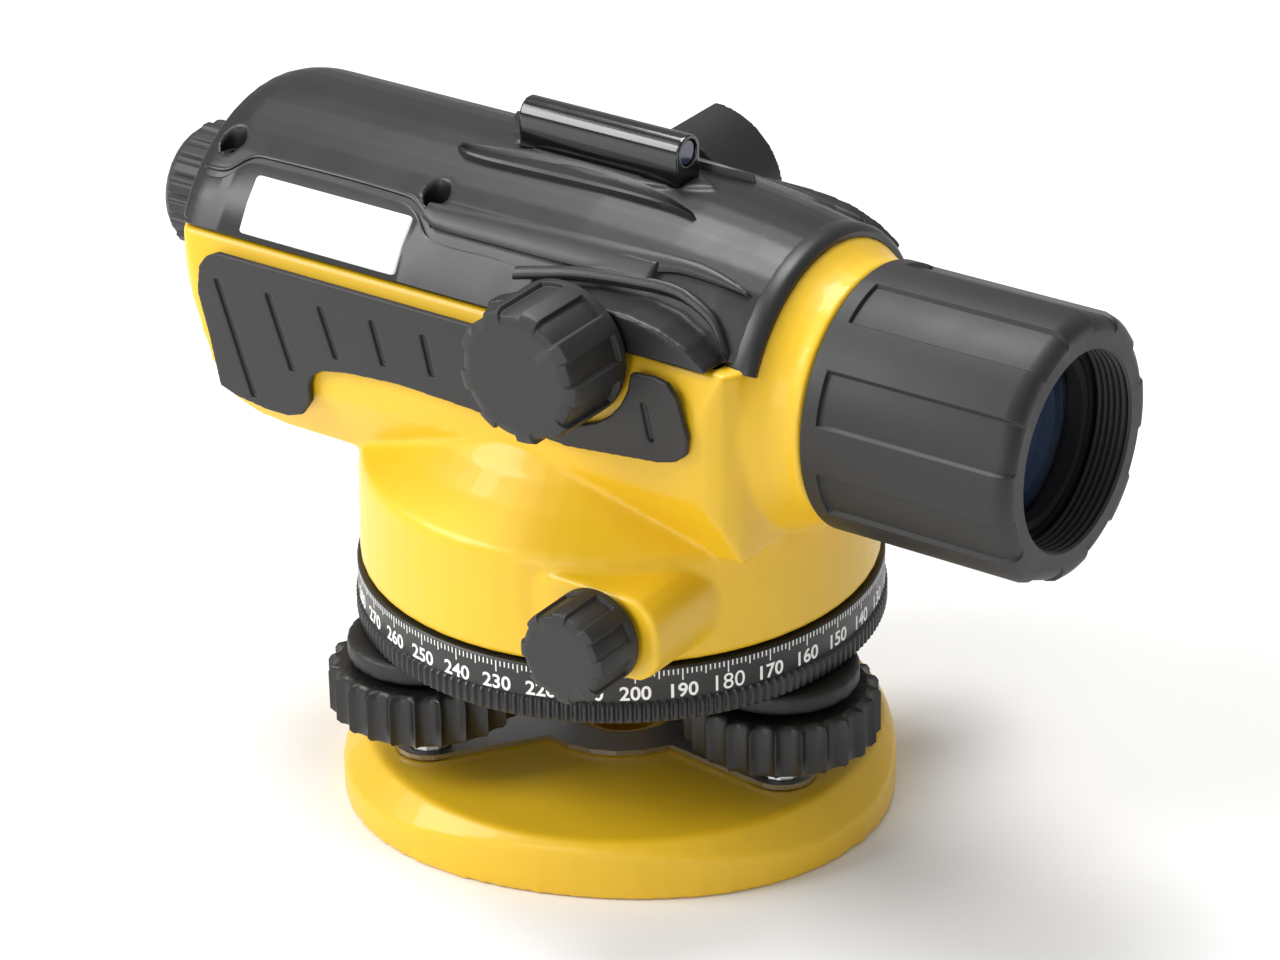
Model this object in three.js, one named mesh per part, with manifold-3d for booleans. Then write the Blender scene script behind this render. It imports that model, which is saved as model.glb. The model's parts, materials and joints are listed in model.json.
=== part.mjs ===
// Automatic level: a telescope on a rotating alidade, over a horizontal circle and a three-screw base.
// Millimetres. +Z is up along the vertical axis, +X points out of the objective, and -Y is the observer's
// right hand, the side with the focusing knob. The origin is on the vertical axis, at the base's underside.
import * as THREE from "three";
import { mergeVertices } from "three/addons/utils/BufferGeometryUtils.js";
import Module from "manifold-3d";

const wasm = await Module();
wasm.setup();

// ---- driving dimensions ----
const GAP = 0.3; // clearance between touching pieces
const FAR = 150; // beyond every surface, for cutting tools
const SIDES = [["right", -1], ["left", 1]];

const BASE = { radius: 56.8, lobe: 2.2, height: 12.5, band: 4.8, inset: 5.8, lobeAngle: -6.3, thread: 8 };
const SPRING = { hub: 20, hole: 12, arm: 14, thickness: 1.1 };
const SCREW = {
  circle: 42.2, knob: 20.1, bottom: 22, top: 33.6, cup: 25.5, flute: 1.2, ribs: 24,
  rod: 3.8, rodTop: 38.6, ball: 5, socket: 5.8, socketFloor: 8.2, ballRise: 1.1,
};
const HEAD = { bottom: 34.6, top: 39, hub: 33, boss: 15.8, nose: 10, noseBottom: 27, bore: 9.8 };
const SLEEVE = { radius: 16, bottom: 24, top: 68, shoulder: 19, shoulderTop: 57.9 };
const SPINDLE = { radius: 6.2, bottom: 20.5, flange: 15, flangeBottom: 68.9, top: 71.6, nut: 10 };
const DIAL = { radius: 54.2, bottom: 39.4, top: 51.4, wall: 3.4, floor: 3.2, bore: 19.4 };
const DRUM = {
  radius: 53, bottom: 51.8, shoulder: 75.9, wall: 3.4, ceiling: 72, coneRadius: 33, coneTop: 89.4,
};

const AXIS_Z = 100.8; // objective line of sight
const EYE_Z = 106.6; // eyepiece line of sight, which the compensator prisms raise
const SHELL = { radius: 35.3, wall: 2.6, seam: 114.5, front: 50, rear: -86 };
const CAVITY = { floor: 78, front: 44, foot: 83 };
const COLLAR = { flare: 29.8, radius: 26.4, end: 60.4, bore: 22.1 };
const TUBE = { outer: 21.8, inner: 18.6, rear: 47.7, front: 98 };
const HOOD = {
  radius: 26.9, rear: 60.8, front: 106, bore: 22.2, mouth: 19.65, chamfer: 3.5,
  panels: 8, recess: 0.9, collar: 3.5,
};
const GUIDE = { outer: 13, inner: 10.8, rear: -15, front: 44.6, flange: 21.7, flangeEnd: 47.3 };
const CELL = { outer: 10.4, inner: 8.8, rear: 2, front: 26 };
const FOCUS = { x: 13.8, z: 113.3, knob: 14.2, back: 35.7, length: 17, panels: 9, shaft: 2.5, hole: 8 };
const PINION = { radius: 3.7, teeth: 14, near: 17, far: 12.6 };
const TANGENT = {
  x: 30.9, z: 63.1, knob: 10, back: 51.7, length: 12.5, panels: 8, shaft: 3, worm: 4.9, bush: 5.4, bushNear: 38,
};
const KNOB = { recess: 0.9, collar: 1.6, collarInset: 0.2, share: 0.55, capWall: 2.5 };
const WHEEL = { inner: 16.4, outer: 25.6, bottom: 60, top: 66.2, teeth: 60, washer: 23.5 };
const EYE = { tube: 10, tubeBore: 8.1, tubeRear: -101.4, tubeFront: -66, cell: 7.7, cellBore: 6.2 };
const RING = { radius: 13.8, rear: -106, front: -89.5, bore: 10.5, mouth: 8.3, ribs: 20 };
const SIGHT = { rear: -20, front: 18, half: 3.7, bottom: 135.3, top: 145.2, bore: 2.7 };
const VIAL = { x: -3.7, y: 44.7, outer: 9.9, inner: 8, bottom: 102, top: 109.9 };
const VIAL_HOOD = { x: -11.7, radius: 16.7, near: 35.6, far: 53.2, wall: 1.8 };
const COVER_SCREW = { y: 20, stations: [-79.5, -28.3], head: 2.4, seat: 124, tip: 109 };
const GRIP = { inner: 35.6, outer: 37.3, groove: 0.9 };
const COMP = { rear: -51, front: -17, half: 14, bottom: 78.4, top: 121, wall: 2 };
const PENDULUM = { rear: -42, front: -26, half: 9.5, bottom: 88, top: 112, post: 2 };

// ---- solids from three.js geometry ----
function solid(geometry) {
  const bare = geometry.clone();
  bare.deleteAttribute("normal");
  bare.deleteAttribute("uv");
  const merged = mergeVertices(bare, 1e-4);
  const corners = [];
  const index = merged.index.array;
  for (let i = 0; i < index.length; i += 3) {
    const [a, b, c] = [index[i], index[i + 1], index[i + 2]];
    if (a !== b && b !== c && c !== a) corners.push([a, b, c]);
  }
  const build = (faces) => new wasm.Manifold(new wasm.Mesh({
    numProp: 3,
    vertProperties: merged.attributes.position.array,
    triVerts: new Uint32Array(faces.flat()),
  }));
  const made = build(corners);
  return made.volume() > 0 ? made : build(corners.map(([a, b, c]) => [a, c, b]));
}

const join = (first, ...others) => others.reduce((sum, next) => sum.add(next), first);
const cut = (first, ...others) => others.reduce((rest, next) => rest.subtract(next), first);
const radians = THREE.MathUtils.degToRad;

// A profile of [radius, station] pairs turned about an axis. It starts and ends on the axis or is closed here.
function turned(profile, { axis = "z", at = [0, 0, 0], sides = 32 } = {}) {
  const points = profile.map(([radius, station]) => new THREE.Vector2(radius, station));
  if (profile[0][0] > 0) points.push(points[0].clone());
  const geometry = new THREE.LatheGeometry(points, sides);
  if (axis === "z") geometry.rotateX(Math.PI / 2);
  if (axis === "x") geometry.rotateZ(-Math.PI / 2);
  return solid(geometry.translate(...at));
}
const rod = (radius, low, high, place) => turned([[0, low], [radius, low], [radius, high], [0, high]], place);
const ring = (inner, outer, low, high, place) =>
  turned([[inner, low], [outer, low], [outer, high], [inner, high]], place);

function box(low, high) {
  const size = high.map((value, i) => value - low[i]);
  const middle = high.map((value, i) => (value + low[i]) / 2);
  return solid(new THREE.BoxGeometry(...size).translate(...middle));
}

// An outline extruded between two stations of an axis: (Y, Z) pairs along x, (X, Z) along y, (X, Y) along z.
function extruded(outline, axis, low, high) {
  const shape = new THREE.Shape(outline.map(([a, b]) => new THREE.Vector2(a, b)));
  const geometry = new THREE.ExtrudeGeometry(shape, { depth: high - low, bevelEnabled: false });
  if (axis === "x") geometry.rotateX(Math.PI / 2).rotateZ(Math.PI / 2);
  if (axis === "y") geometry.rotateX(Math.PI / 2);
  const shift = { x: [low, 0, 0], y: [0, high, 0], z: [0, 0, low] }[axis];
  return solid(geometry.translate(...shift));
}

// Points of an arc about (a, b), between two angles in degrees.
function arc([a, b], radius, from, to, steps) {
  return Array.from({ length: steps + 1 }, (_, i) => {
    const t = radians(from + ((to - from) * i) / steps);
    return [a + radius * Math.cos(t), b + radius * Math.sin(t)];
  });
}

function roundedRectangle([a0, b0], [a1, b1], radius, steps = 4) {
  return [
    ...arc([a1 - radius, b0 + radius], radius, -90, 0, steps),
    ...arc([a1 - radius, b1 - radius], radius, 0, 90, steps),
    ...arc([a0 + radius, b1 - radius], radius, 90, 180, steps),
    ...arc([a0 + radius, b0 + radius], radius, 180, 270, steps),
  ];
}

// The outline of a gear or a ribbed rim: each tooth takes up a share of its pitch at the tip.
function toothed(teeth, root, tip, share, [a, b] = [0, 0]) {
  const pitch = 360 / teeth;
  const corners = [[-share / 2 - 0.1, root], [-share / 2, tip], [share / 2, tip], [share / 2 + 0.1, root]];
  return Array.from({ length: teeth }, (_, i) => i).flatMap((i) =>
    corners.map(([offset, radius]) => arc([a, b], radius, (i + offset) * pitch, 0, 1)[0]),
  );
}

// ---- finishes ----
const paint = (color, roughness, metalness = 0) =>
  new THREE.MeshStandardMaterial({ color, roughness, metalness });
const YELLOW = paint(0xe8b81e, 0.45);
const BLACK = paint(0x1b1b1c, 0.55);
const RUBBER = paint(0x232323, 0.85);
const STEEL = paint(0x9a9c9e, 0.35, 1);
const BRASS = paint(0xb5964a, 0.35, 1);
const ALUMINIUM = paint(0x8b8d90, 0.4, 1);
const NYLON = paint(0xe6e2d8, 0.6);
const LABEL = paint(0xe9e9ea, 0.4);
const GLASS = paint(0xbfd4dc, 0.05);

const level = new THREE.Group();
function add(name, made, material) {
  const { vertProperties, triVerts } = made.getMesh();
  const geometry = new THREE.BufferGeometry();
  geometry.setAttribute("position", new THREE.BufferAttribute(vertProperties, 3));
  geometry.setIndex(new THREE.BufferAttribute(triVerts, 1));
  geometry.computeVertexNormals();
  const mesh = new THREE.Mesh(geometry, material);
  mesh.name = name;
  level.add(mesh);
}

// Directions along which pieces are turned or bored.
const sightLine = (sides) => ({ axis: "x", at: [0, 0, AXIS_Z], sides });
const eyeLine = (sides) => ({ axis: "x", at: [0, 0, EYE_Z], sides });
const focusLine = (sides) => ({ axis: "y", at: [FOCUS.x, 0, FOCUS.z], sides });
const tangentLine = (sides) => ({ axis: "y", at: [TANGENT.x, 0, TANGENT.z], sides });

// ---- levelling base ----
const screwPlaces = [0, 1, 2].map((i) => arc([0, 0], SCREW.circle, BASE.lobeAngle - 120 * i, 0, 1)[0]);
const atScrew = ([x, y], sides) => ({ at: [x, y, 0], sides });

function basePlate() {
  const steps = 54;
  const outline = Array.from({ length: steps }, (_, i) => {
    const angle = (360 * i) / steps;
    const radius = BASE.radius + BASE.lobe * Math.cos(radians(3 * (angle - BASE.lobeAngle)));
    return arc([0, 0], radius, angle, 0, 1)[0];
  });
  const cone = turned([
    [0, -1], [BASE.radius + BASE.lobe + 1, -1], [BASE.radius + BASE.lobe + 1, BASE.band],
    [BASE.radius - BASE.inset + BASE.lobe, BASE.height], [0, BASE.height],
  ], { sides: 54 });
  const sockets = screwPlaces.map((place) => rod(SCREW.socket, SCREW.socketFloor, FAR, atScrew(place, 14)));
  const body = extruded(outline, "z", 0, BASE.height).intersect(cone);
  return cut(body, rod(BASE.thread, -1, FAR, { sides: 24 }), ...sockets);
}
add("base_plate", basePlate(), YELLOW);

function springPlate() {
  const low = BASE.height + GAP;
  const high = low + SPRING.thickness;
  const half = SPRING.arm / 2;
  const arms = screwPlaces.map((place, i) =>
    extruded([[0, -half], [SCREW.circle, -half], [SCREW.circle, half], [0, half]], "z", low, high)
      .rotate([0, 0, BASE.lobeAngle - 120 * i]),
  );
  const ends = screwPlaces.map((place) => rod(half, low, high, atScrew(place, 16)));
  const holes = screwPlaces.map((place) => rod(SCREW.ball + 0.4, low - 1, high + 1, atScrew(place, 12)));
  const plate = join(rod(SPRING.hub, low, high, { sides: 24 }), ...arms, ...ends);
  return cut(plate, rod(SPRING.hole, 0, FAR, { sides: 20 }), ...holes);
}
add("spring_plate", springPlate(), STEEL);

// ---- foot screws ----
screwPlaces.forEach((place, i) => {
  const rim = toothed(SCREW.ribs, SCREW.knob - SCREW.flute, SCREW.knob, 0.5);
  const ribs = extruded(rim, "z", SCREW.bottom, SCREW.top);
  const bore = rod(SCREW.rod + GAP, 0, FAR, { sides: 14 });
  const cup = rod(HEAD.nose + 1.5, SCREW.cup, FAR, { sides: 20 });
  const ballZ = BASE.height + SCREW.ballRise;
  const ball = solid(new THREE.SphereGeometry(SCREW.ball, 12, 8).rotateX(Math.PI / 2).translate(0, 0, ballZ));
  const spindle = join(ball, rod(SCREW.rod, ballZ, SCREW.rodTop, { sides: 12 }));
  add(`foot_screw_${i + 1}_knob`, cut(ribs, bore, cup).translate([...place, 0]), BLACK);
  add(`foot_screw_${i + 1}_spindle`, spindle.translate([...place, 0]), STEEL);
});

// ---- levelling head and vertical axis ----
function levellingHead() {
  const bosses = screwPlaces.map((place) => rod(HEAD.boss, HEAD.bottom, HEAD.top, atScrew(place, 28)));
  const noses = screwPlaces.map((place) => rod(HEAD.nose, HEAD.noseBottom, HEAD.top, atScrew(place, 16)));
  const bores = screwPlaces.map((place) => rod(SCREW.rod + GAP, 0, FAR, atScrew(place, 12)));
  const hub = rod(HEAD.hub, HEAD.bottom, HEAD.top);
  const sleeve = rod(SLEEVE.radius, SLEEVE.bottom, SLEEVE.top, { sides: 28 });
  const shoulder = rod(SLEEVE.shoulder, HEAD.bottom, SLEEVE.shoulderTop, { sides: 28 });
  const head = join(hub, ...bosses, ...noses, sleeve, shoulder);
  return cut(head, rod(HEAD.bore, 0, FAR, { sides: 20 }), ...bores);
}
add("levelling_head", levellingHead(), BLACK);
add("spindle_bush", ring(SPINDLE.radius + GAP, HEAD.bore - GAP, 25.5, 67.5, { sides: 20 }), BRASS);
add("vertical_spindle", join(
  rod(SPINDLE.radius, SPINDLE.bottom, SPINDLE.top, { sides: 20 }),
  rod(SPINDLE.flange, SPINDLE.flangeBottom, SPINDLE.top, { sides: 24 }),
), STEEL);
add("spindle_nut", cut(
  rod(SPINDLE.nut, 20.8, 23.4, { sides: 6 }),
  rod(SPINDLE.radius + GAP, 0, FAR, { sides: 16 }),
), STEEL);

// ---- horizontal circle ----
add("horizontal_circle", cut(
  rod(DIAL.radius, DIAL.bottom, DIAL.top, { sides: 60 }),
  rod(DIAL.radius - DIAL.wall, DIAL.bottom + DIAL.floor, FAR, { sides: 40 }),
  rod(DIAL.bore, 0, FAR, { sides: 28 }),
), BLACK);

// ---- tangent drive ----
add("friction_washer", ring(
  WHEEL.inner, WHEEL.washer, SLEEVE.shoulderTop + GAP, WHEEL.bottom - GAP, { sides: 28 },
), RUBBER);
add("worm_wheel", cut(
  extruded(toothed(WHEEL.teeth, WHEEL.outer - 0.9, WHEEL.outer, 0.4), "z", WHEEL.bottom, WHEEL.top),
  rod(WHEEL.inner, 0, FAR, { sides: 28 }),
), NYLON);

// The worm is cut in one piece with the shaft that both knobs turn.
function tangentShaft() {
  const turns = 7;
  const half = 9;
  const end = TANGENT.back + TANGENT.length - 3;
  const pitch = (2 * half) / turns;
  const thread = Array.from({ length: turns }, (_, i) => -half + i * pitch).flatMap((y) =>
    [[TANGENT.worm - 0.9, y], [TANGENT.worm, y + pitch * 0.35], [TANGENT.worm, y + pitch * 0.65]],
  );
  const worm = turned([[0, -half], ...thread, [TANGENT.worm - 0.9, half], [0, half]], tangentLine(14));
  return join(rod(TANGENT.shaft, -end, end, tangentLine(14)), worm);
}
add("tangent_shaft", tangentShaft(), STEEL);

// A hand knob on a shaft along y: recessed panels round its rim, a plain collar at the back and a blind bore.
function handKnob({ x, z, knob, back, length, panels, shaft }, side) {
  const span = (near, far) => (side < 0 ? [-far, -near] : [near, far]);
  const place = { axis: "y", at: [x, 0, z], sides: 28 };
  const rim = toothed(panels, knob - KNOB.recess, knob, KNOB.share, [x, z]);
  const ribs = extruded(rim, "y", ...span(back, back + length));
  const core = rod(knob - KNOB.recess, ...span(back, back + length), place);
  const collar = rod(knob - KNOB.collarInset, ...span(back, back + KNOB.collar), place);
  const bore = rod(shaft + GAP, ...span(back - 1, back + length - KNOB.capWall), { ...place, sides: 14 });
  return cut(join(core, ribs, collar), bore);
}
for (const [name, side] of SIDES) {
  const reach = [side * TANGENT.bushNear, side * (TANGENT.back - 0.9)].sort((a, b) => a - b);
  add(`tangent_knob_${name}`, handKnob(TANGENT, side), RUBBER);
  add(`tangent_bush_${name}`, ring(TANGENT.shaft + GAP, TANGENT.bush, ...reach, tangentLine(16)), BRASS);
}

// ---- housing ----
const screwStations = COVER_SCREW.stations.flatMap((x) => [-1, 1].map((side) => [x, side * COVER_SCREW.y]));

// Section of the body: upright walls that follow the barrel above the line of sight and curl into the belly.
function bodySection(half, foot, belly, top) {
  const rise = THREE.MathUtils.radToDeg(Math.asin((top - AXIS_Z) / half));
  const centre = [0, AXIS_Z];
  return [
    ...arc(centre, half, 0, rise, 4), ...arc(centre, half, 180 - rise, 180, 4),
    [-half, foot], [-half + 1.5, foot - 4], [-half + 6, belly],
    [half - 6, belly], [half - 1.5, foot - 4], [half, foot],
  ];
}

// Side view of the body, moved inwards by inset: the rear end leans forward towards the belly.
function sideView(inset) {
  return [
    [SHELL.front, 73 + inset], [SHELL.front, 130], [SHELL.rear + inset, 130], [SHELL.rear + inset, 113],
    [-85 + inset, 108], [-81 + inset, 100], [-76.8 + inset, 90], [-74.8 + inset, 82],
    [-74.2 + inset, 78 + inset], [-69.5 + inset, 75 + inset], [-61.7, 73.6 + inset],
  ];
}

// Plan of the body, with its upright corners rounded.
const planView = roundedRectangle([SHELL.rear, -SHELL.radius - 0.1], [SHELL.front, SHELL.radius + 0.1], 9);

const drum = turned([
  [0, DRUM.bottom], [DRUM.radius - 0.6, DRUM.bottom], [DRUM.radius, DRUM.bottom + 1],
  [DRUM.radius - 0.4, 72.6], [DRUM.radius - 1.2, 74.6], [DRUM.radius - 3.2, DRUM.shoulder],
  [44, 79.4], [38.6, 84], [36, 88],
  [DRUM.coneRadius, DRUM.coneTop], [0, DRUM.coneTop],
], { sides: 56 });

function tangentBoss(side) {
  const outline = roundedRectangle([TANGENT.x - 17, 54], [TANGENT.x + 13, 72], 7);
  return extruded(outline, "y", ...(side < 0 ? [-50.5, -30] : [30, 50.5]));
}

// Everything below the seam, then everything that is bored or hollowed out of it.
function lowerHousing() {
  const top = SHELL.seam - GAP;
  const body = extruded(bodySection(SHELL.radius, CAVITY.foot + 4, 73.4, top), "x", SHELL.rear, SHELL.front)
    .intersect(extruded(sideView(0), "y", -FAR, FAR))
    .intersect(extruded(planView, "z", 0, FAR));
  const collar = turned([
    [0, 40], [COLLAR.flare, 40], [COLLAR.flare, SHELL.front], [COLLAR.radius + 1, 54], [COLLAR.radius, 57],
    [COLLAR.radius, COLLAR.end], [0, COLLAR.end],
  ], sightLine(44));
  const coverRoom = box([-FAR, -FAR, top], [SHELL.front + GAP, FAR, FAR]);
  const inside = bodySection(SHELL.radius - SHELL.wall, CAVITY.foot, CAVITY.floor, top + 1);
  const hollow = extruded(inside, "x", -FAR, CAVITY.front)
    .intersect(extruded(sideView(SHELL.wall), "y", -FAR, FAR));
  const drumHollow = rod(DRUM.radius - DRUM.wall, 0, DRUM.ceiling, { sides: 40 });
  const outside = join(body, drum, collar, tangentBoss(-1), tangentBoss(1));
  const posts = screwStations.map((place) => rod(4.2, 98, top, atScrew(place, 10)).intersect(body));
  const webs = screwStations.map(([x, y]) => {
    const wall = y < 0 ? [-34, y] : [y, 34];
    return box([x - 1.2, wall[0], 98], [x + 1.2, wall[1], top]).intersect(body);
  });
  return cut(
    join(cut(outside, hollow, drumHollow), ...posts, ...webs),
    coverRoom,
    rod(COLLAR.bore, 40, FAR, sightLine(32)),
    rod(EYE.tube + GAP, -FAR, -70, eyeLine(20)),
    rod(TANGENT.bush + GAP, -FAR, FAR, tangentLine(16)),
    rod(FOCUS.hole, -FAR, -25, focusLine(20)),
    ...screwStations.map((place) => rod(1.8, COVER_SCREW.tip - 1, FAR, atScrew(place, 8))),
  );
}
add("lower_housing", lowerHousing(), YELLOW);

// ---- top cover ----
// Outer radius of the cover along the line of sight: straight over the body, falling towards the collar.
const coverProfile = (inset) => [
  [SHELL.rear + inset, 32 - inset], [SHELL.rear + 0.8 + inset, 33.8 - inset],
  [SHELL.rear + 4, SHELL.radius - 0.4 - inset], [SHELL.rear + 7, SHELL.radius - inset],
  [6, SHELL.radius - inset], [26, SHELL.radius - 1 - inset],
  [40, SHELL.radius - 2.6 - inset], [SHELL.front - inset, 31 - inset],
];
function coverSolid(inset) {
  const profile = coverProfile(inset).map(([x, radius]) => [radius, x]);
  return turned([[0, profile[0][1]], ...profile, [0, SHELL.front - inset]], sightLine(48));
}

// A band of the cover between two angles above the horizontal, standing proud on both sides.
function coverRib(from, to, rear, front, proud) {
  const section = [
    ...arc([0, AXIS_Z], SHELL.radius + proud, from, to, 3),
    ...arc([0, AXIS_Z], SHELL.radius - 8, to, from, 1),
  ];
  return join(...[-1, 1].map((side) => extruded(section.map(([y, z]) => [side * y, z]), "x", rear, front)));
}

// The fender around the focusing knob, which brings the cover out to the upright wall below it.
function fender(side) {
  const outline = [
    [-6, 110], [-6, 117.5], [4, 121.2], [16, 122.8], [27, 122.6], [34, 121.4],
    [40, 119], [44.6, 115.8], [46, 110],
  ];
  return extruded(outline, "y", ...(side < 0 ? [-34.9, -18] : [18, 34.9]));
}

// The leaf-shaped pad that the sight stands on.
function sightPad() {
  const half = 24;
  const width = 8;
  const radius = (half * half + width * width) / (2 * width);
  const spread = THREE.MathUtils.radToDeg(Math.asin(half / radius));
  const outline = [
    ...arc([0, width - radius], radius, 90 - spread, 90 + spread, 12),
    ...arc([0, radius - width], radius, 270 - spread, 270 + spread, 12).slice(1, -1),
  ];
  return extruded(outline, "z", 128, FAR).intersect(coverSolid(-0.8));
}

function topCover() {
  const low = SHELL.seam + 0.2;
  const shell = cut(coverSolid(0), coverSolid(SHELL.wall));
  const sides = cut(join(fender(-1), fender(1)), coverSolid(SHELL.wall));
  const ribs = cut(coverRib(43.5, 52, -25, 26, 0.7), coverSolid(SHELL.wall));
  const posts = screwStations.map((place) => rod(4.2, low, 132, atScrew(place, 10)).intersect(coverSolid(0)));
  return cut(
    join(shell, sides, ribs, sightPad(), ...posts),
    box([-FAR, -FAR, 0], [FAR, FAR, low]),
    box(
      [SIGHT.rear - GAP, -SIGHT.half - GAP, SIGHT.bottom - GAP],
      [SIGHT.front + GAP, SIGHT.half + GAP, FAR],
    ),
    rod(COLLAR.flare + GAP, SHELL.front - SHELL.wall - 1, FAR, sightLine(56)),
    rod(EYE.tube + GAP, -FAR, -70, eyeLine(20)),
    rod(FOCUS.hole, -FAR, -25, focusLine(20)),
    ...screwStations.map((place) => rod(COVER_SCREW.head + GAP, COVER_SCREW.seat, FAR, atScrew(place, 14))),
    ...screwStations.map((place) => rod(1.8, 0, FAR, atScrew(place, 8))),
  );
}
add("top_cover", topCover(), BLACK);

screwStations.forEach((place, i) => {
  const low = COVER_SCREW.seat + GAP;
  const head = rod(COVER_SCREW.head, low, low + 2.2, atScrew(place, 14));
  const shank = rod(1.5, COVER_SCREW.tip, low + 0.5, atScrew(place, 8));
  add(`cover_screw_${i + 1}`, cut(join(head, shank), rod(1.2, low + 0.9, FAR, atScrew(place, 6))), STEEL);
});

function labelPlate() {
  const inner = SHELL.radius + GAP;
  const bent = extruded([
    ...arc([0, AXIS_Z], inner, 136, 156, 8),
    ...arc([0, AXIS_Z], inner + 0.5, 156, 136, 8),
  ], "x", -70, -29);
  return bent.intersect(extruded(roundedRectangle([-69.9, 115.8], [-29, 126], 2), "y", -FAR, 0));
}
add("label_plate", labelPlate(), LABEL);

// ---- side grips ----
// Outline in (X, Z), with a round notch that clears the focusing knob.
const gripOutline = [
  [-77, 103], [-76.2, 108.8], [-74.4, 111.2], [-71.6, 112.6], [-2, 112.6],
  ...arc([FOCUS.x, FOCUS.z], FOCUS.knob + 1.4, 184, 356, 12),
  [34.5, 112.6], [37.6, 112], [39.9, 109.5], [42.3, 101.5], [41.8, 97.9], [39.4, 96], [35.5, 94.9],
  [14, 92.6], [-9.7, 94.5], [-26.8, 95.2], [-39.4, 94.3], [-45.7, 93.1], [-48.4, 91.4], [-49.3, 89],
  [-49.1, 85.5], [-51.5, 82], [-55, 80.8], [-60, 80.7], [-68.2, 81.8], [-72.4, 83.2], [-74.6, 94],
];
// Top and bottom ends of the finger grooves, as (X, Z) points.
const gripGrooves = [
  [[-71.8, 107.1], [-63.5, 82.6]], [[-58.8, 107.1], [-53.2, 91.1]], [[-45.6, 107.3], [-41.8, 96.6]],
  [[-32.7, 107.6], [-30, 98.2]], [[-20.1, 107.7], [-18.1, 99.1]], [[32.2, 106.7], [33.9, 99]],
];
function sideGrip(side) {
  const between = (a, b) => (side < 0 ? [-b, -a] : [a, b]);
  const pad = extruded(gripOutline, "y", ...between(GRIP.inner, GRIP.outer));
  const grooves = gripGrooves.map(([[x0, z0], [x1, z1]]) =>
    extruded([[x0 - 0.7, z0], [x1 - 0.7, z1], [x1 + 0.7, z1], [x0 + 0.7, z0]], "y",
      ...between(GRIP.outer - GRIP.groove, GRIP.outer + 1)),
  );
  const vialRoom = box([VIAL.x - VIAL.outer - 1, 20, VIAL.bottom - 2], [VIAL.x + VIAL.outer + 1, FAR, FAR]);
  return side < 0 ? cut(pad, ...grooves) : cut(pad, ...grooves, vialRoom);
}
for (const [name, side] of SIDES) add(`${name}_grip`, sideGrip(side), RUBBER);

// ---- objective end ----
add("objective_barrel", ring(TUBE.inner, TUBE.outer, TUBE.rear, TUBE.front, sightLine(32)), ALUMINIUM);
add("objective_lens", turned([
  [0, 86], [TUBE.inner - GAP, 87.6], [TUBE.inner - GAP, 92.6], [12, 94], [0, 94.6],
], sightLine(32)), GLASS);
add("objective_retaining_ring", ring(16.4, TUBE.inner - GAP, 95, 97.4, sightLine(32)), BLACK);

// Raised ribs with recessed panels between them, which start ahead of a plain collar at the back.
function objectiveHood() {
  const pitch = 360 / HOOD.panels;
  const outline = Array.from({ length: HOOD.panels }, (_, i) => (i - 0.25) * pitch).flatMap((start) => [
    ...arc([0, AXIS_Z], HOOD.radius, start, start + pitch / 2, 4),
    ...arc([0, AXIS_Z], HOOD.radius - HOOD.recess, start + pitch / 2 + 1, start + pitch - 1, 4),
  ]);
  const envelope = turned([
    [0, HOOD.rear], [HOOD.radius, HOOD.rear], [HOOD.radius, HOOD.front - HOOD.chamfer],
    [HOOD.radius - HOOD.chamfer, HOOD.front], [0, HOOD.front],
  ], sightLine(48));
  const collar = rod(HOOD.radius, HOOD.rear, HOOD.rear + HOOD.collar, sightLine(48));
  return cut(
    join(extruded(outline, "x", HOOD.rear, HOOD.front).intersect(envelope), collar),
    rod(HOOD.bore, 0, TUBE.front + GAP, sightLine(32)),
    rod(HOOD.mouth, 0, FAR, sightLine(32)),
  );
}
add("objective_hood", objectiveHood(), BLACK);

// ---- focusing ----
function guideTube() {
  const tube = rod(GUIDE.outer, GUIDE.rear, GUIDE.front + 0.5, sightLine(24));
  const flange = rod(GUIDE.flange, GUIDE.front, GUIDE.flangeEnd, sightLine(28));
  const slot = box([-3, -FAR, 98], [31, -8, 107.5]);
  return cut(join(tube, flange), rod(GUIDE.inner, -FAR, FAR, sightLine(24)), slot);
}
add("focusing_guide_tube", guideTube(), ALUMINIUM);
add("focusing_knob", handKnob(FOCUS, -1), RUBBER);
add("focusing_bush", ring(FOCUS.shaft + GAP, FOCUS.hole - GAP, -FOCUS.back + GAP, -27, focusLine(24)), BRASS);

function focusingPinion() {
  const shaft = rod(FOCUS.shaft, -FOCUS.back - FOCUS.length + 3, -PINION.far + 0.3, focusLine(20));
  const teeth = toothed(PINION.teeth, PINION.radius - 0.5, PINION.radius, 0.3, [FOCUS.x, FOCUS.z]);
  return join(shaft, extruded(teeth, "y", -PINION.near, -PINION.far));
}
add("focusing_pinion", focusingPinion(), STEEL);

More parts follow.
